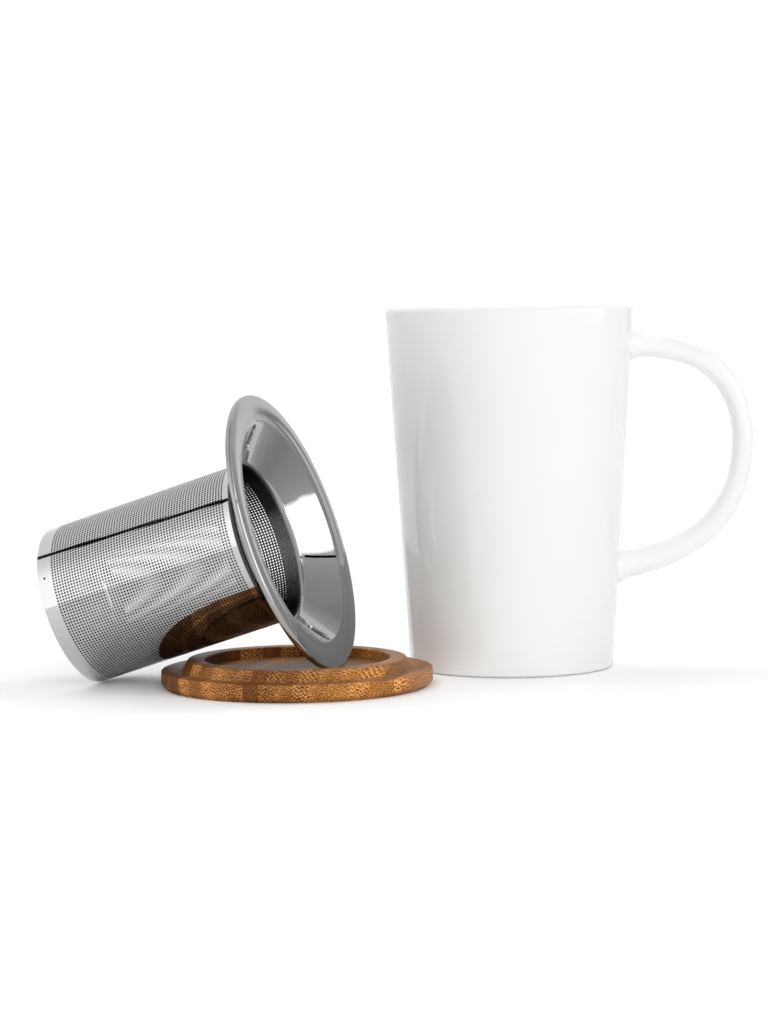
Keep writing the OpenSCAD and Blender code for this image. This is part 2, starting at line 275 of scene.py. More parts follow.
def porcelain():
    """Clear glaze over white porcelain: faint clouds and specks, slow waves and fine orange peel."""
    f = Finish("porcelain")
    at = f.mapped()
    cloud = f.noise(at, 0.03, 3.0)
    speck = f.step(f.noise(at, 1.7, 1.0), 0.78, 0.86)
    height = f.add("ShaderNodeSeparateXYZ", {0: at}).outputs[2]
    bare = f.step(height, GLAZE_FROM_Z, BARE_BELOW_Z)
    glaze = f.mix(cloud, *GLAZE_TONES)
    glaze = f.mix(f.math("MULTIPLY", speck, 0.25), glaze, SPECK_TONE)
    f.set(Base_Color=f.mix(bare, glaze, BARE_CLAY))
    smooth = f.step(f.noise(at, 0.11, 2.0), 0.3, 0.7, 0.008, 0.022)
    f.set(Roughness=f.math("MAXIMUM", smooth, f.math("MULTIPLY", bare, 0.6)), IOR=GLAZE_IOR)
    wave = f.noise(f.mapped(scale=(1, 1, 0.7)), 0.045, 1.5)
    peel = f.noise(at, 0.9, 2.0)
    f.set(Normal=f.bump(peel, 0.000004, 0.6, f.bump(wave, 0.00004, 1.0)))
    return f.material


def mug_outer_r(z):
    return MUG_FOOT_R + MUG_SLOPE * (z - FOOT_ROUND)


def make_mug(glaze):
    floor_z = FOOT_HOLLOW + MUG_FLOOR
    round_z = floor_z + MUG_INNER_ROUND
    round_r = mug_outer_r(round_z) - MUG_WALL - MUG_INNER_ROUND
    foot_in = MUG_FOOT_R - FOOT_RING_W
    foot = arc((MUG_FOOT_R - FOOT_ROUND, FOOT_ROUND), FOOT_ROUND, -90, 0, 10)
    rim = arc((MUG_RIM_R - RIM_ROUND, MUG_TOP_Z), RIM_ROUND, 0, 180, 24)
    inner = arc((round_r, round_z), MUG_INNER_ROUND, 0, -90, 18)
    profile = np.concatenate([
        line((0, FOOT_HOLLOW), (foot_in - FOOT_HOLLOW, FOOT_HOLLOW), 8),
        line((foot_in - FOOT_HOLLOW, FOOT_HOLLOW), (foot_in, 0), 4),
        line((foot_in, 0), foot[0], 3),
        foot[:-1],
        line(foot[-1], rim[0], 40),
        rim[:-1],
        line(rim[-1], inner[0], 36),
        inner[:-1],
        line(inner[-1], (0, floor_z), 10),
        [(0, floor_z)],
    ])
    verts, faces = revolve(profile, full_turn(MUG_SIDES), closed=False)
    add_piece("mug_body_glazed", verts, faces, "mug", ["mug_body"], [glaze])


def bezier(p, t):
    """The point at t on the cubic curve with the four points p."""
    p = [np.asarray(q, float) for q in p]
    s = 1 - t
    return s**3 * p[0] + 3 * s * s * t * p[1] + 3 * s * t * t * p[2] + t**3 * p[3]


def handle_point(t):
    """The handle's centre line in the plane y = 0: 0 upper root, 1 belly, 2 lower root."""
    top = np.array([mug_outer_r(HANDLE_TOP_Z) - MUG_WALL / 2, HANDLE_TOP_Z])
    low = np.array([mug_outer_r(HANDLE_LOW_Z) - MUG_WALL / 2, HANDLE_LOW_Z])
    belly = np.array([HANDLE_REACH, HANDLE_BELLY_Z])
    top_arm = polar(HANDLE_RUNS[0], HANDLE_TOP_SLOPE)
    low_arm = polar(HANDLE_RUNS[3], HANDLE_LOW_SLOPE)
    if t < 1:
        return bezier([top, top + top_arm, belly + [0, HANDLE_RUNS[1]], belly], t)
    return bezier([belly, belly - [0, HANDLE_RUNS[2]], low + low_arm, low], t - 1)


def make_handle(glaze, sides=48, steps=150):
    """Oval rings swept along the centre line, thinner at the belly and flared into the wall."""
    verts = []
    for i in range(steps + 1):
        # Rings crowd towards the two roots, where the handle flares into the wall.
        t = 1 - math.cos(math.pi * i / steps)
        c = handle_point(t)
        along = unit(handle_point(min(t + 0.01, 2)) - handle_point(max(t - 0.01, 0)))
        across = np.array([-along[1], along[0]])
        thick = (
            HANDLE_TOP_T + (HANDLE_BELLY_T - HANDLE_TOP_T) * ease(t)
            if t < 1
            else HANDLE_BELLY_T + (HANDLE_LOW_T - HANDLE_BELLY_T) * ease(t - 1)
        )
        swell = HANDLE_FLARE * math.exp(-max(0.0, c[0] - mug_outer_r(c[1])) / FLARE_REACH)
        a, b = (thick + swell) / 2, (HANDLE_W + swell) / 2
        for turn in full_turn(sides):
            q = c + a * math.cos(turn) * across
            verts.append((q[0], b * math.sin(turn), q[1]))
    faces = [
        [i * sides + j, (i + 1) * sides + j, (i + 1) * sides + (j + 1) % sides, i * sides + (j + 1) % sides]
        for i in range(steps)
        for j in range(sides)
    ]
    faces.append(list(range(sides)))
    faces.append([steps * sides + j for j in reversed(range(sides))])
    add_piece("mug_handle_glazed", verts, faces, "mug", ["mug_handle"], [glaze])


# ---------------------------------------------------------------- steel
def steel(name, tone, low_rough, high_rough, ripple, hairline):
    """Stainless sheet with light smears, hairline marks and slow ripples, both with their depth."""
    f = Finish(name)
    at = f.mapped()
    smear = f.noise(at, 0.05, 3.0, 0.6)
    hair = f.noise(f.mapped(scale=(0.2, 0.2, 6.0)), 1.0, 3.0, 0.7)
    f.set(Base_Color=f.mix(smear, (tone * 0.94,) * 3, (tone * 1.05,) * 3), Metallic=1.0)
    worn = f.math("ADD", f.math("MULTIPLY", smear, 0.6), f.math("MULTIPLY", hair, 0.4))
    f.set(Roughness=f.step(worn, 0.3, 0.7, low_rough, high_rough))
    wave = f.noise(at, 0.09, 1.0)
    f.set(Normal=f.bump(hair, hairline * MM, 1.0, f.bump(wave, ripple * MM)))
    return f.material


# The round bends at the funnel's mouth and crest, how far the mouth lies below the plain funnel's,
# and how far the cone bows out between the two bends.
MOUTH_BEND, CREST_BEND, MOUTH_DROP, CONE_BOW = 2.6, 1.2, 0.8, 0.15
# A dimple is a slot with sides this wide, in a soft dish this deep. Its middle lies this share of
# the funnel nearer to the neck than the model's.
SLOT_WALL, DISH_DEPTH, DIMPLE_SHIFT = 1.2, 0.10, 0.05
DIMPLE_LOW_Z = FUNNEL_LOW_Z - 1
# The collar's mesh is fine within this angle of a dimple and plainer elsewhere.
DIMPLE_ARC, FINE_TURN, PLAIN_TURN = 13.0, 0.4, 1.5
# Painted shade: the neck is painted darker, and is rougher, below this height, and a dimple is painted darker
# where it has this share of its depth.
NECK_SHADE_Z, SLOT_SHADE_SHARE = FUNNEL_LOW_Z - 0.5, 0.3


def collar_path():
    """The middle of the collar's sheet, from the neck's lower edge to the rolled edge."""
    t = COLLAR_T / 2
    low = np.array([NECK_R - t, NECK_LOW_Z])
    mouth = np.array([NECK_R - t, FUNNEL_LOW_Z - MOUTH_DROP])
    crest = np.array([FUNNEL_TOP_R, FUNNEL_TOP_Z - t])
    roll = LIP_ROLL - t
    edge = np.array([FLANGE_R - LIP_ROLL, INFUSER_LEN - LIP_ROLL])
    lip_end, lip_start = edge + [0, roll], crest + [FUNNEL_BEND, 0]
    first = bend(low, mouth, crest, MOUTH_BEND, 12)
    second = bend(mouth, crest, crest + [1, 0], CREST_BEND, 10)
    steps = 14
    lip = [
        lip_start + (lip_end - lip_start) * i / steps + [0, FLANGE_CROWN * math.sin(math.pi * i / steps) / 2]
        for i in range(1, steps)
    ]
    # The cone bows out like an arc between the two bends.
    share = np.linspace(0, 1, 72)[1:-1, None]
    down = unit(second[0] - first[-1])[::-1] * [1, -1]
    cone = first[-1] + (second[0] - first[-1]) * share + down * CONE_BOW * 4 * share * (1 - share)
    return np.concatenate([line(low, first[0], 6), first, cone, second, lip, arc(edge, roll, 90, -60, 12)])


def dimple(point, slope_dir, centre, turn):
    """How deep the pressing is at a path point, seen at angle turn from the dimple's own."""
    along = float(np.dot(np.asarray(point) - centre, slope_dir))
    aside = point[0] * turn
    away = math.hypot(max(0.0, abs(along) - (DIMPLE_LEN - DIMPLE_W) / 2), aside)
    deep = DIMPLE_DEPTH * ease(min(1.0, max(0.0, (DIMPLE_W / 2 - away) / SLOT_WALL)))
    if away < DIMPLE_W:
        deep += DISH_DEPTH * (1 + math.cos(math.pi * away / DIMPLE_W)) / 2
    return deep


def from_dimple(angle):
    """The signed angle from the nearer dimple, all in radians."""
    sides = (math.radians(DIMPLE_DIR), math.radians(DIMPLE_DIR + 180))
    return min(((angle - side + math.pi) % (2 * math.pi) - math.pi for side in sides), key=abs)


def make_collar(finishes):
    """The collar's sheet turned round its axis, with the two dimples pushed out of the funnel.
    finishes are those of the funnel and lip, the neck's painted shade and the dimples' painted shade."""
    path = collar_path()
    step = np.gradient(path, axis=0)
    along = step / np.linalg.norm(step, axis=1)[:, None]
    normal = np.stack([-along[:, 1], along[:, 0]], 1)
    t = COLLAR_T / 2
    cap = [math.radians(a) for a in (30, 60, 90, 120, 150)]
    ends = [[path[-1] + t * (math.cos(a) * normal[-1] + math.sin(a) * along[-1]) for a in cap],
            [path[0] - t * (math.cos(a) * normal[0] + math.sin(a) * along[0]) for a in cap]]
    profile = np.concatenate([path + t * normal, ends[0], (path - t * normal)[::-1], ends[1]])
    low = np.array([NECK_R, FUNNEL_LOW_Z])
    high = np.array([FUNNEL_TOP_R, FUNNEL_TOP_Z])
    slope_dir = unit(high - low)
    centre = low + (high - low) * (DIMPLE_PLACE - DIMPLE_SHIFT)
    down = np.array([slope_dir[1], -slope_dir[0]])
    near, turns = math.radians(DIMPLE_ARC), []
    a = 0.0
    while a < 2 * math.pi - 1e-9:
        turns.append(a)
        a += math.radians(FINE_TURN if abs(from_dimple(a)) < near else PLAIN_TURN)
    turns = [v * 2 * math.pi / a for v in turns]
    verts, faces = revolve(profile, turns, closed=True)
    verts = np.array(verts).reshape(len(profile), len(turns), 3)
    depths = np.zeros(verts.shape[:2])
    offs = [from_dimple(v) for v in turns]
    for i, p in enumerate(profile):
        if abs(np.dot(p - centre, slope_dir)) > DIMPLE_LEN or p[1] < DIMPLE_LOW_Z:
            continue
        for j, off in enumerate(offs):
            if abs(off) < near:
                d = dimple(p, slope_dir, centre, off)
                if d:
                    move = d * down
                    depths[i, j] = d
                    verts[i, j] += (move[0] * math.cos(turns[j]), move[0] * math.sin(turns[j]), move[1])
    verts = verts.reshape(-1, 3)
    slot_shade = depths.ravel() > SLOT_SHADE_SHARE * DIMPLE_DEPTH

    # Faces low on the neck take its painted shade (1), and faces deep in a dimple take the dimples' painted
    # shade (2).
    def shade(face):
        if all(verts[v][2] < NECK_SHADE_Z for v in face):
            return 1
        return 2 if all(slot_shade[v] for v in face) else 0

    shades = [shade(face) for face in faces]
    add_piece("collar_pressed", verts, faces, "infuser", ["infuser_collar"], finishes, 40,
              INFUSER, shades=shades)


# The fine holes, for which the solids have larger stand-ins, and the heights that they fill.
HOLE_D, HOLE_COLUMNS, HOLE_ROWS = 0.73, 172, 63
FIELD_LOW_Z, FIELD_HIGH_Z = 5.0, 68.35
VENT_COLUMN = round(VENT_DIR / 360 * HOLE_COLUMNS - 0.5)
VENT_CELL, VENT_HOLE_R = 0.5, VENT_D / 2 * 0.98
EIGHTHS = [math.pi / 4 * k for k in range(8)]


def pierced_wall(r, thick, levels, holes, inner_shade=0):
    """A tube wall on a grid of cells, with a round hole through each cell for which holes gives a
    radius. levels are the heights between the rows of cells. Shades are 0 on the outer face,
    inner_shade on the inner one and 1 on the holes' walls, whose steel is painted dark as painted
    shade. grid has each face's first vertex."""
    verts, faces, shades = [], [], []
    n = HOLE_COLUMNS
    pitch = 2 * math.pi / n
    grid = []
    for radius in (r, r - thick):
        grid.append(len(verts))
        for z in levels:
            verts.extend((radius * math.cos(j * pitch), radius * math.sin(j * pitch), z) for j in range(n))
    for i in range(len(levels) - 1):
        mid_z = (levels[i] + levels[i + 1]) / 2
        for j in range(n):
            k = (j + 1) % n
            corners = [[g + i * n + j, g + i * n + k, g + (i + 1) * n + k, g + (i + 1) * n + j] for g in grid]
            hole = holes(i, j)
            if not hole:
                faces.extend([corners[0], corners[1][::-1]])
                shades.extend([0, inner_shade])
                continue
            rings = []
            for radius in (r, r - thick):
                rings.append(len(verts))
                for a in EIGHTHS:
                    turn = (j + 0.5) * pitch + hole * math.cos(a) / r
                    z = mid_z + hole * math.sin(a)
                    verts.append((radius * math.cos(turn), radius * math.sin(turn), z))
            # Corner c of a cell lies on the diagonal between ring points 2c + 4 and 2c + 6.
            for side, (ring, corner) in enumerate(zip(rings, corners)):
                for c in range(4):
                    p = [ring + (2 * c + m) % 8 for m in (4, 5, 6)]
                    here, after = corner[c], corner[(c + 1) % 4]
                    tris = [[here, p[1], p[0]], [here, p[2], p[1]], [here, after, p[2]]]
                    faces.extend(t if side == 0 else t[::-1] for t in tris)
            for m in range(8):
                a, b = m, (m + 1) % 8
                faces.append([rings[0] + a, rings[0] + b, rings[1] + b, rings[1] + a])
            shades.extend([0] * 12 + [inner_shade] * 12 + [1] * 8)
    return verts, faces, grid, shades


def make_basket(finishes):
    """The perforated tube, in three parts of a third of the rows each, with its two plain bands."""
    pitch = (FIELD_HIGH_Z - FIELD_LOW_Z) / HOLE_ROWS
    field = [FIELD_LOW_Z + pitch * i for i in range(HOLE_ROWS + 1)]
    third = HOLE_ROWS // 3
    vent = [0.15, 0.6, VENT_Z - VENT_CELL, VENT_Z + VENT_CELL, 4.2]
    top = [FIELD_HIGH_Z + 1.2, BASKET_TOP_Z - 0.9, BASKET_TOP_Z - 0.6]
    # A part's name, its levels and how many plain rows it starts with.
    parts = [
        ("basket_wall_low", vent + field[: third + 1], len(vent)),
        ("basket_wall_middle", field[third: 2 * third + 1], 0),
        ("basket_wall_high", field[2 * third:] + top, 0),
    ]
    for part, (name, levels, plain) in enumerate(parts):

        def holes(i, j):
            if plain and i == 2 and j == VENT_COLUMN:
                return VENT_HOLE_R
            return HOLE_D / 2 if plain <= i < plain + third else 0

        # Shade 2 paints the basket's inner face darker, as painted shade.
        verts, faces, grid, shades = pierced_wall(BASKET_R, BASKET_T, levels, holes, 2)
        n = HOLE_COLUMNS
        if part == 0:
            # The lower edge is rounded over the sheet's thickness.
            outer, inner = grid
            lips = []
            for turn in (0.35, 0.65):
                lips.append(len(verts))
                radius = BASKET_R - BASKET_T * turn
                verts.extend(
                    (radius * math.cos(2 * math.pi * j / n), radius * math.sin(2 * math.pi * j / n), 0.0)
                    for j in range(n)
                )
            for a, b in ((outer, lips[0]), (lips[0], lips[1]), (lips[1], inner)):
                faces.extend([a + j, b + j, b + (j + 1) % n, a + (j + 1) % n] for j in range(n))
        if part == 2:
            a, b = (g + (len(levels) - 1) * n for g in grid)
            faces.extend([a + j, a + (j + 1) % n, b + (j + 1) % n, b + j] for j in range(n))
        shades.extend([0] * (len(faces) - len(shades)))
        add_piece(name, verts, faces, "infuser", ["infuser_basket"], finishes,
                  place=INFUSER, outward=False, shades=shades)


def make_base(finishes):
    """The shallow cup inside the wall's lower edge: a pierced disc with a turned-up rim."""
    corner, field_r, pitch = 1.2, 22.6, 1.0
    cell_reach = 0.71 * pitch
    low, high = BASE_INSET, BASE_INSET + BASKET_T
    top = BASE_INSET + BASE_WALL_H
    levels = [BASE_INSET + corner, VENT_Z - VENT_CELL, VENT_Z + VENT_CELL, top]
    verts, faces, grid, shades = pierced_wall(
        NECK_R, BASKET_T, levels, lambda i, j: VENT_HOLE_R if i == 1 and j == VENT_COLUMN else 0
    )
    n = HOLE_COLUMNS
    bm = bmesh.new()
    for v in verts:
        bm.verts.new(v)
    bm.verts.ensure_lookup_table()
    for face, shade in zip(faces, shades):
        bm.faces.new([bm.verts[v] for v in face]).material_index = shade

    def ring(r, z):
        return [bm.verts.new((r * math.cos(t), r * math.sin(t), z)) for t in full_turn(n)]

    def band(a, b):
        for j in range(n):
            bm.faces.new([a[j], a[(j + 1) % n], b[(j + 1) % n], b[j]])

    bm.verts.ensure_lookup_table()
    outer = [bm.verts[grid[0] + j] for j in range(n)]
    inner = [bm.verts[grid[1] + j] for j in range(n)]
    last = (len(levels) - 1) * n
    band(*([bm.verts[start + last + j] for j in range(n)] for start in grid))
    for p in arc((NECK_R - corner, BASE_INSET + corner), corner, 0, -90, 6)[1:]:
        nxt = ring(*p)
        band(outer, nxt)
        outer = nxt
    for p in arc((NECK_R - corner, BASE_INSET + corner), corner - BASKET_T, 0, -90, 4)[1:]:
        nxt = ring(*p)
        band(inner, nxt)
        inner = nxt
    count = int(field_r / pitch)
    cells = [
        (i, j)
        for i in range(-count, count + 1)
        for j in range(-count, count + 1)
        if math.hypot(i, j) * pitch + cell_reach < field_r
    ]
    rings = {}
    for z, edge in ((low, outer), (high, inner)):
        shared = {}

        def corner_vert(i, j):
            if (i, j) not in shared:
                shared[i, j] = bm.verts.new((i * pitch - pitch / 2, j * pitch - pitch / 2, z))
            return shared[i, j]

        flat = []
        for i, j in cells:
            square = [corner_vert(i + x, j + y) for x, y in ((0, 0), (1, 0), (1, 1), (0, 1))]
            hole = [
                bm.verts.new((i * pitch + HOLE_D / 2 * math.cos(a), j * pitch + HOLE_D / 2 * math.sin(a), z))
                for a in EIGHTHS
            ]
            rings[i, j, z] = hole
            for c in range(4):
                p = [hole[(2 * c + m) % 8] for m in (4, 5, 6)]
                flat.append(bm.faces.new([square[c], p[1], p[0]]))
                flat.append(bm.faces.new([square[c], p[2], p[1]]))
                flat.append(bm.faces.new([square[c], square[(c + 1) % 4], p[2]]))
        # The plain rim between the outermost cells and the turned-up wall.
        on_grid = set(shared.values())
        open_edges = [
            e for f in flat for e in f.edges if len(e.link_faces) == 1 and all(v in on_grid for v in e.verts)
        ]
        rim_edges = [bm.edges.get((edge[j], edge[(j + 1) % n])) for j in range(n)]
        bmesh.ops.triangle_fill(bm, use_beauty=True, edges=open_edges + rim_edges)
    # The holes' walls take shade 1, steel painted dark as painted shade.
    for i, j in cells:
        a, b = rings[i, j, low], rings[i, j, high]
        for m in range(8):
            bm.faces.new([a[m], a[(m + 1) % 8], b[(m + 1) % 8], b[m]]).material_index = 1
    bmesh.ops.recalc_face_normals(bm, faces=bm.faces)
    bm.verts.index_update()
    verts = [tuple(v.co) for v in bm.verts]
    faces = [[v.index for v in f.verts] for f in bm.faces]
    shades = [f.material_index for f in bm.faces]
    bm.free()
    add_piece("base_pierced", verts, faces, "infuser", ["infuser_base"], finishes, 35,
              INFUSER, shades=shades)


# ---------------------------------------------------------------- bamboo
# One row a strip, from left to right: lightness, then how strongly the vessels show, their pitch in mm, and
# their slant. The lightness is partly the strip's own tone and partly painted light: painted shade lowers it
# on the strips at the left, and painted light raises it on those at the right.
STRIP_LOOKS = [
    (0.05, 0.35, 0.75, 10), (-0.15, 0.40, 0.70, 60), (-0.02, 0.45, 0.75, 30), (-0.05, 0.45, 0.70, 75),
    (0.88, 1.00, 0.81, 62), (0.18, 0.50, 0.70, 20), (0.80, 1.00, 0.79, 40), (0.32, 0.90, 0.76, 66),
    (0.20, 0.80, 0.76, 14), (-0.05, 0.40, 0.70, 35), (0.06, 0.95, 0.76, 52), (0.19, 0.75, 0.69, 24),
    (0.36, 0.95, 0.88, 60), (0.48, 0.75, 0.72, 12), (0.62, 0.75, 0.70, 40), (0.88, 0.95, 0.77, 66),
    (0.48, 0.50, 0.76, 22), (1.15, 1.00, 0.93, 54),
]
BAMBOO_SLOTS = ["bamboo_light", "bamboo_mid", "bamboo_dark"]
# End grain and long grain at a lightness of 0 and of 1, then the vessels on both, the fibre between
# them on the end grain, and the glue.
END_TONES = ((0.225, 0.071, 0.014), (0.770, 0.315, 0.072))
LONG_TONES = ((0.160, 0.062, 0.019), (0.420, 0.178, 0.058))
VESSEL_END, VESSEL_LONG, PALE_FIBRE = (0.060, 0.018, 0.006), (0.075, 0.030, 0.012), (1.0, 0.62, 0.24)
GLUE_TONE = (0.050, 0.018, 0.008)
# Oiled wood shines little. Each strip's grain starts this much further along than the last one's.
WOOD_IOR, WOOD_SHINE, STRIP_STEP = 1.33, 0.25, 37.3
LID_SIDES = 240


def strip_edge(i):
    """Where strip i begins, across the strips from the lid's centre."""
    if i == 0:
        return -LID_R - 1
    return LID_R + 1 if i == STRIP_COUNT else (i - STRIP_COUNT / 2 - STRIP_SHIFT) * STRIP_W


def shade_of(dark, light, t):
    return tuple(a + (b - a) * t for a, b in zip(dark, light))


def bamboo(index):
    """One strip's wood: vessels as dots on the end grain and as lines along it, fibre and glue."""
    lightness, vessels, spacing, slant = STRIP_LOOKS[index]
    f = Finish(f"bamboo_{index + 1:02d}")
    # x runs along the grain, y across the strips and z up, all from the lid's centre.
    turn = -math.radians(GRAIN_DIR)
    centre = Matrix.Rotation(turn, 3, "Z") @ Vector((LID_XY[0], LID_XY[1], 0))
    at = f.mapped(turn=(0, 0, turn), shift=(-centre[0], -centre[1], 0))
    across = f.add("ShaderNodeSeparateXYZ", {0: at}).outputs[1]
    facing = f.vector("DOT_PRODUCT", f.coords.outputs["Normal"], (*polar(1, GRAIN_DIR), 0))
    end = f.step(f.math("ABSOLUTE", facing), 0.15, 0.45)

    def scaled(vector, *scale):
        return f.vector("MULTIPLY", vector, scale)

    shift = STRIP_STEP * index
    shifted = f.vector("ADD", at, (shift, shift * 0.7, shift * 0.3))
    drift = f.noise(scaled(shifted, 0.03, 0.25, 0.25), 1.0, 2.0)
    fibre = f.noise(scaled(shifted, 0.05, 3.5, 3.5), 1.0, 3.0, 0.6)
    blotch = f.noise(shifted, 0.22, 3.0)
    # Vessels: a slanted lattice of dots on the end grain, which run along the grain as thin lines.
    stray_inputs = {"Vector": scaled(shifted, 0.04, 0.8, 0.8), "Scale": 1.0, "Detail": 1.0}
    stray = f.add("ShaderNodeTexNoise", stray_inputs).outputs["Color"]
    bent = f.vector("ADD", shifted, scaled(stray, 0, 1.3, 1.3))
    waves = None
    for angle, pitch in ((slant, spacing), (slant + 78, spacing * 1.12)):
        way = (0, *(polar(2 * math.pi / pitch, angle)))
        wave = f.math("COSINE", f.vector("DOT_PRODUCT", bent, way))
        waves = wave if waves is None else f.math("ADD", waves, wave)
    patchy = f.noise(scaled(shifted, 0.05, 1.6, 1.6), 1.0, 2.0)
    size = f.math("MULTIPLY", f.math("SUBTRACT", patchy, 0.5), 2.2)
    found = f.math("ADD", waves, size)
    dot = f.step(found, 0.35, 0.95)
    pale = f.step(found, -0.2, -1.1)

    # end_base and long_base carry the strip's lightness, with its painted light and shade.
    end_base = shade_of(*END_TONES, lightness)
    long_base = shade_of(*LONG_TONES, lightness)
    end_shade = f.mix(f.math("MULTIPLY", pale, 0.35 * vessels), end_base, PALE_FIBRE)
    end_shade = f.mix(f.math("MULTIPLY", dot, 0.92 * vessels), end_shade, VESSEL_END)
    long_dark, long_light = (tuple(c * level for c in long_base) for level in (0.66, 1.28))
    long_shade = f.mix(f.step(fibre, 0.3, 0.7), long_dark, long_light)
    long_shade = f.mix(f.math("MULTIPLY", dot, 0.30 * vessels), long_shade, VESSEL_LONG)
    shade = f.mix(end, long_shade, end_shade)
    for marks, dim, lit in (
        (drift, (0.82, 0.80, 0.78), (1.14, 1.15, 1.16)),
        (blotch, (0.90, 0.88, 0.86), (1.06, 1.07, 1.08)),
    ):
        shade = f.mix(1.0, shade, f.mix(f.step(marks, 0.3, 0.7), dim, lit), "MULTIPLY")
    # The glue line is dark and thin at both sides of the strip.
    near = None
    for i in (index, index + 1):
        if 0 < i < STRIP_COUNT:
            off = f.math("ABSOLUTE", f.math("SUBTRACT", across, strip_edge(i)))
            glue = f.step(off, 0.16, 0.04)
            near = glue if near is None else f.math("MAXIMUM", near, glue)
    shade = f.mix(f.math("MULTIPLY", near, 0.7), shade, GLUE_TONE)
    f.set(Base_Color=shade, IOR=WOOD_IOR, Specular_IOR_Level=WOOD_SHINE)
    f.set(Roughness=f.math("ADD", f.step(fibre, 0.2, 0.8, 0.34, 0.46), f.math("MULTIPLY", end, 0.18)))
    raised = f.math("MULTIPLY", fibre, 0.5)
    grain = f.math("SUBTRACT", raised, f.math("MULTIPLY", f.math("MAXIMUM", dot, near), 0.7))
    f.set(Normal=f.bump(grain, 0.00007, 0.8))
    return f.material


def make_lid():
    """The turned lid as it lies, outer face down, sawn into its strips."""
    top_edge = arc((LID_R - LID_EDGE, LID_DISC_H - LID_EDGE), LID_EDGE, 0, 90, 6)
    ring_out = arc((LID_RING_TOP_R - LID_EDGE, LID_H - LID_EDGE), LID_EDGE, 15, 90, 6)
    ring_in = arc((LID_RECESS_R + LID_EDGE, LID_H - LID_EDGE), LID_EDGE, 90, 180, 6)
    chamfer = [
        (LID_R - LID_CHAMFER - 0.05, 0),
        (LID_R - LID_CHAMFER + 0.05, 0.05),
        (LID_R - 0.04, LID_CHAMFER - 0.04),
        (LID_R, LID_CHAMFER + 0.05),
    ]
    profile = np.concatenate([
        [(0, 0)], chamfer, top_edge, [(LID_RING_BASE_R, LID_DISC_H)], ring_out, ring_in,
        [(LID_RECESS_R, LID_DISC_H), (0, LID_DISC_H)],
    ])
    verts, faces = revolve(profile, full_turn(LID_SIDES), closed=False)
    whole = bpy.data.meshes.new("lid_blank")
    whole.from_pydata([tuple(v) for v in verts], [], faces)
    across = Vector((*polar(1, GRAIN_DIR - 90), 0))
    for i in range(STRIP_COUNT):
        bm = bmesh.new()
        bm.from_mesh(whole)
        for edge, sign in ((strip_edge(i), -1), (strip_edge(i + 1), 1)):
            if abs(edge) > LID_R:
                continue
            cut = bmesh.ops.bisect_plane(
                bm,
                geom=bm.verts[:] + bm.edges[:] + bm.faces[:],
                plane_co=across * edge,
                plane_no=across * sign,
                clear_outer=True,
            )
            cut_edges = [e for e in cut["geom_cut"] if isinstance(e, bmesh.types.BMEdge)]
            bmesh.ops.holes_fill(bm, edges=cut_edges, sides=0)
        bmesh.ops.dissolve_degenerate(bm, dist=1e-5, edges=bm.edges)
        bmesh.ops.recalc_face_normals(bm, faces=bm.faces)
        bm.verts.index_update()
        strip_verts = [(v.co[0] + LID_XY[0], v.co[1] + LID_XY[1], v.co[2]) for v in bm.verts]
        strip_faces = [[v.index for v in face.verts] for face in bm.faces]
        bm.free()
        name, slot = f"lid_strip_{i + 1:02d}", BAMBOO_SLOTS[i % len(BAMBOO_SLOTS)]
        add_piece(name + "_bamboo", strip_verts, strip_faces, "lid", [name], [bamboo(i)], 25)
    bpy.data.meshes.remove(whole)


# ---------------------------------------------------------------- stage, light and camera
# The studio's plain brightness as the camera, reflections and surfaces see it.
BACKDROP, MIRRORED, AMBIENT = 1.02, 1.0, 0.04
# The infuser's middle and how far from it the bent cards hang, in metres, and their mesh's step.
MIDDLE = Vector((-0.10, -0.04, 0.045))
CARD_REACH, CARD_GRID = 1.6, 1.0
# The floor's half width and height in metres, its paint, and how much brighter the camera sees it.
FLOOR_HALF, FLOOR_Z, FLOOR_TONE, FLOOR_LIFT = 8.0, -0.00005, 0.96, 0.06


def card_paint():
    """Light of the strength that the card's own mesh carries as its glow."""
    material = bpy.data.materials.new("studio_card")
    material.use_nodes = True
    nodes, links = material.node_tree.nodes, material.node_tree.links
    nodes.clear()
    level = nodes.new("ShaderNodeAttribute")
    level.attribute_name = "glow"
    glow = nodes.new("ShaderNodeEmission")
    links.new(level.outputs["Fac"], glow.inputs["Strength"])
    links.new(glow.outputs[0], nodes.new("ShaderNodeOutputMaterial").inputs[0])
    return material


def hang_card(name, corners, faces, glows, paint):
    """A studio card that only reflections see, with a strength for each of its corners, which are
    in metres."""
    mesh = bpy.data.meshes.new(name)
    mesh.from_pydata([tuple(c) for c in corners], [], faces)
    mesh.attributes.new("glow", "FLOAT", "POINT").data.foreach_set("value", glows)
    mesh.materials.append(paint)
    card = bpy.data.objects.new(name, mesh)
    bpy.context.scene.collection.objects.link(card)
    card.visible_camera = card.visible_diffuse = card.visible_shadow = card.visible_transmission = False


def towards(azimuth, elevation):
    """The way to an azimuth and elevation. Azimuth 0 is away from the camera and 90 to its right."""
    a, e = math.radians(azimuth), math.radians(elevation)
    return Vector((math.sin(a) * math.cos(e), math.cos(a) * math.cos(e), math.sin(e)))


def edge_share(place, low, high, rise, fall):
    """Eases from 0 at low to 1 over rise, and back to 0 at high over fall."""
    share = ease(min(1.0, (place - low) / rise)) if rise else 1.0
    return share * (ease(min(1.0, (high - place) / fall)) if fall else 1.0)


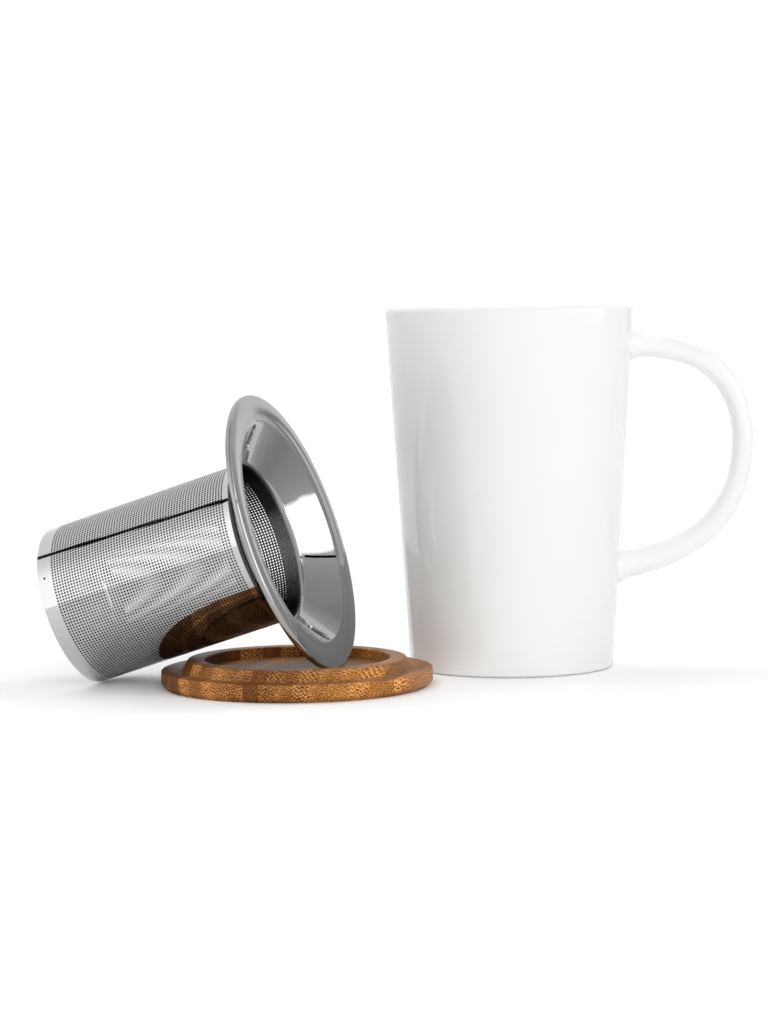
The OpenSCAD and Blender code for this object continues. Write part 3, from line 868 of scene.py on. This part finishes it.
def dome_card(name, azimuths, elevations, strength, soft, paint):
    """A card that fills a window of the view from the infuser, bent round it. Its strength eases from
    the studio's own at its edges over the angles in soft: left, right, low and high."""
    ways = []
    for (a, b), (rise, fall) in ((azimuths, soft[:2]), (elevations, soft[2:])):
        places = np.linspace(a, b, round((b - a) / CARD_GRID) + 1)
        ways.append((places, [edge_share(v, a, b, rise, fall) for v in places]))
    (across, across_share), (upward, up_share) = ways
    n = len(upward)
    corners = [MIDDLE + towards(a, e) * CARD_REACH for a in across for e in upward]
    glows = [MIRRORED + (strength - MIRRORED) * s * t for s in across_share for t in up_share]
    faces = [
        [i * n + j, (i + 1) * n + j, (i + 1) * n + j + 1, i * n + j + 1]
        for i in range(len(across) - 1)
        for j in range(n - 1)
    ]
    hang_card(name, corners, faces, glows, paint)


def dark_bar(name, start, end, width, paint):
    """A black bar with its flat side to the infuser, which only reflections see."""
    start, end = Vector(start) * MM, Vector(end) * MM
    aside = (end - start).cross((start + end) / 2 - MIDDLE).normalized() * width * MM / 2
    corners = [start - aside, end - aside, end + aside, start + aside]
    hang_card(name, corners, [[0, 1, 2, 3]], [0.0] * 4, paint)


def soft_sun(name, azimuth, elevation, spread, level):
    """Far soft light, which reflections don't see: level is what a white face square to it shows."""
    data = bpy.data.lights.new(name, "SUN")
    data.angle = math.radians(spread)
    data.energy = level * math.pi
    sun = bpy.data.objects.new(name, data)
    bpy.context.scene.collection.objects.link(sun)
    sun.rotation_mode = "QUATERNION"
    sun.rotation_quaternion = towards(azimuth, elevation).to_track_quat("Z", "Y")
    sun.visible_glossy = False


def make_stage():
    """A plain pale floor, a touch brighter to the camera's own eye, so that it meets the backdrop."""
    corners = [(x * FLOOR_HALF, y * FLOOR_HALF, FLOOR_Z) for x, y in ((-1, -1), (1, -1), (1, 1), (-1, 1))]
    mesh = bpy.data.meshes.new("floor")
    mesh.from_pydata(corners, [], [[0, 1, 2, 3]])
    material = bpy.data.materials.new("floor")
    material.use_nodes = True
    nodes, links = material.node_tree.nodes, material.node_tree.links
    nodes.clear()
    paint = nodes.new("ShaderNodeBsdfDiffuse")
    paint.inputs["Color"].default_value = (FLOOR_TONE, FLOOR_TONE, FLOOR_TONE, 1)
    lift = nodes.new("ShaderNodeEmission")
    path = nodes.new("ShaderNodeLightPath")
    strength = nodes.new("ShaderNodeMath")
    strength.operation = "MULTIPLY"
    strength.inputs[1].default_value = FLOOR_LIFT
    links.new(path.outputs["Is Camera Ray"], strength.inputs[0])
    links.new(strength.outputs[0], lift.inputs["Strength"])
    both = nodes.new("ShaderNodeAddShader")
    links.new(paint.outputs[0], both.inputs[0])
    links.new(lift.outputs[0], both.inputs[1])
    links.new(both.outputs[0], nodes.new("ShaderNodeOutputMaterial").inputs[0])
    mesh.materials.append(material)
    floor = bpy.data.objects.new("floor", mesh)
    bpy.context.scene.collection.objects.link(floor)


def make_world():
    world = bpy.data.worlds.new("studio")
    bpy.context.scene.world = world
    world.use_nodes = True
    nodes, links = world.node_tree.nodes, world.node_tree.links
    nodes.clear()
    path = nodes.new("ShaderNodeLightPath")
    level = None
    rays = (("Is Glossy Ray", MIRRORED), ("Is Transmission Ray", BACKDROP), ("Is Camera Ray", BACKDROP))
    for ray, seen in rays:
        pick = nodes.new("ShaderNodeMix")
        pick.inputs["B"].default_value = seen
        if level is None:
            pick.inputs["A"].default_value = AMBIENT
        else:
            links.new(level, pick.inputs["A"])
        links.new(path.outputs[ray], pick.inputs["Factor"])
        level = pick.outputs["Result"]
    back = nodes.new("ShaderNodeBackground")
    back.inputs["Color"].default_value = (1, 1, 1, 1)
    links.new(level, back.inputs["Strength"])
    links.new(back.outputs[0], nodes.new("ShaderNodeOutputWorld").inputs[0])


# The camera that was solved from the photograph. Its clipping distances are in metres.
FOCAL_PX, CAMERA_AT = 2676.338, (-43.685, -921.504, 116.559)
CAMERA_PITCH, CAMERA_ROLL, IMAGE_H, SENSOR = 3.9027, 0.6479, 1024, 36.0
CLIP_NEAR, CLIP_FAR = 0.05, 50


def make_camera():
    data = bpy.data.cameras.new("Camera")
    data.sensor_width = SENSOR
    data.lens = FOCAL_PX / IMAGE_H * SENSOR
    data.clip_start, data.clip_end = CLIP_NEAR, CLIP_FAR
    camera = bpy.data.objects.new("Camera", data)
    bpy.context.scene.collection.objects.link(camera)
    p, r = math.radians(CAMERA_PITCH), math.radians(CAMERA_ROLL)
    forward = Vector((0, math.cos(p), -math.sin(p)))
    side = Vector((1, 0, 0))
    above = side.cross(forward)
    right = math.cos(r) * side - math.sin(r) * above
    up = math.sin(r) * side + math.cos(r) * above
    turn = Matrix((right, up, -forward)).transposed().to_4x4()
    camera.matrix_world = Matrix.Translation(Vector(CAMERA_AT) * MM) @ turn
    bpy.context.scene.camera = camera


glaze = porcelain()
make_mug(glaze)
make_handle(glaze)
# Tone, least and greatest roughness, ripples and hairlines.
# Painted shade: the collar's polished steel is the basket's steel painted darker, which dims its reflections.
mirror = steel("steel_polished", 0.375, 0.015, 0.04, 0.035, 0.0003)
# Painted shade: the neck and the dimples' floors are the same steel painted darker.
neck = steel("steel_neck_painted_shade", 0.27, 0.20, 0.26, 0.0, 0.0)
slot_shade = steel("steel_slot_painted_shade", 0.11, 0.10, 0.16, 0.0, 0.0)
sheet = steel("steel_sheet", 0.58, 0.03, 0.07, 0.015, 0.0003)
# Painted shade: the holes' walls and the basket's inner face are steel painted dark.
edges = steel("steel_hole_walls_painted_shade", 0.015, 0.35, 0.50, 0.0, 0.0)
inside = steel("steel_inside_painted_shade", 0.16, 0.16, 0.24, 0.03, 0.0)
make_collar([mirror, neck, slot_shade])
make_basket([sheet, edges, inside])
make_base([sheet, edges])
make_lid()
make_stage()
make_world()
# Azimuth, elevation, spread and level.
soft_sun("back_top", 0, 60, 60, 0.172)
soft_sun("back_left", -60, 50, 60, 0.453)
soft_sun("front", 180, 15, 50, 0.359)
soft_sun("right_front", 135, 30, 50, 0.218)
soft_sun("back_right", 60, 45, 50, 0.309)
soft_sun("front_top", 180, 50, 60, 0.161)
card = card_paint()
# Azimuths, elevations, strength, and how soft the edges are: left, right, low and high.
dome_card("card_right", (86, 126), (-8, 38), 3.1, (0, 0, 0, 0), card)
dome_card("card_right_high", (80, 128), (38, 44), 2.0, (0, 0, 0, 0), card)
dome_card("card_dark_high", (40, 150), (46, 80), 0.38, (6, 6, 0, 12), card)
dome_card("card_left", (-150, -84), (-20, 52), 1.62, (8, 34, 14, 26), card)
# Black bars' corners are in millimetres, and the dim card's beside the mug in metres.
dark_bar("flag_left", (-841, 286, 700), (-553, -269, 700), 50, card)
dome_card("card_back", (33, 41), (-2, 24), 0.40, (4, 3, 4, 8), card)
# Painted shade: a dim card beside the mug, which only reflections see, stands in the collar's reflection
# where the mug's shaded side would show.
hang_card("card_mug_painted_shade", [(-0.047, -0.06, 0), (-0.047, 0.012, 0), (-0.047, 0.012, 0.044), (-0.047, -0.06, 0.02)],
          [[0, 1, 2, 3]], [0.22, 0.22, 0.5, 0.25], card)
# Painted reflection: a thin black bar beside the cone, which only reflections see, paints a dark line in the
# cone's reflection.
dark_bar("bar_cone_painted_reflection", (-64.4, -24.1, 45.17), (-54.0, -18.5, 44.79), 0.62, card)
dark_bar("flag_right", (760, -105, 600), (430, -430, 600), 30, card)
make_camera()
bpy.context.scene.view_settings.view_transform = "Standard"
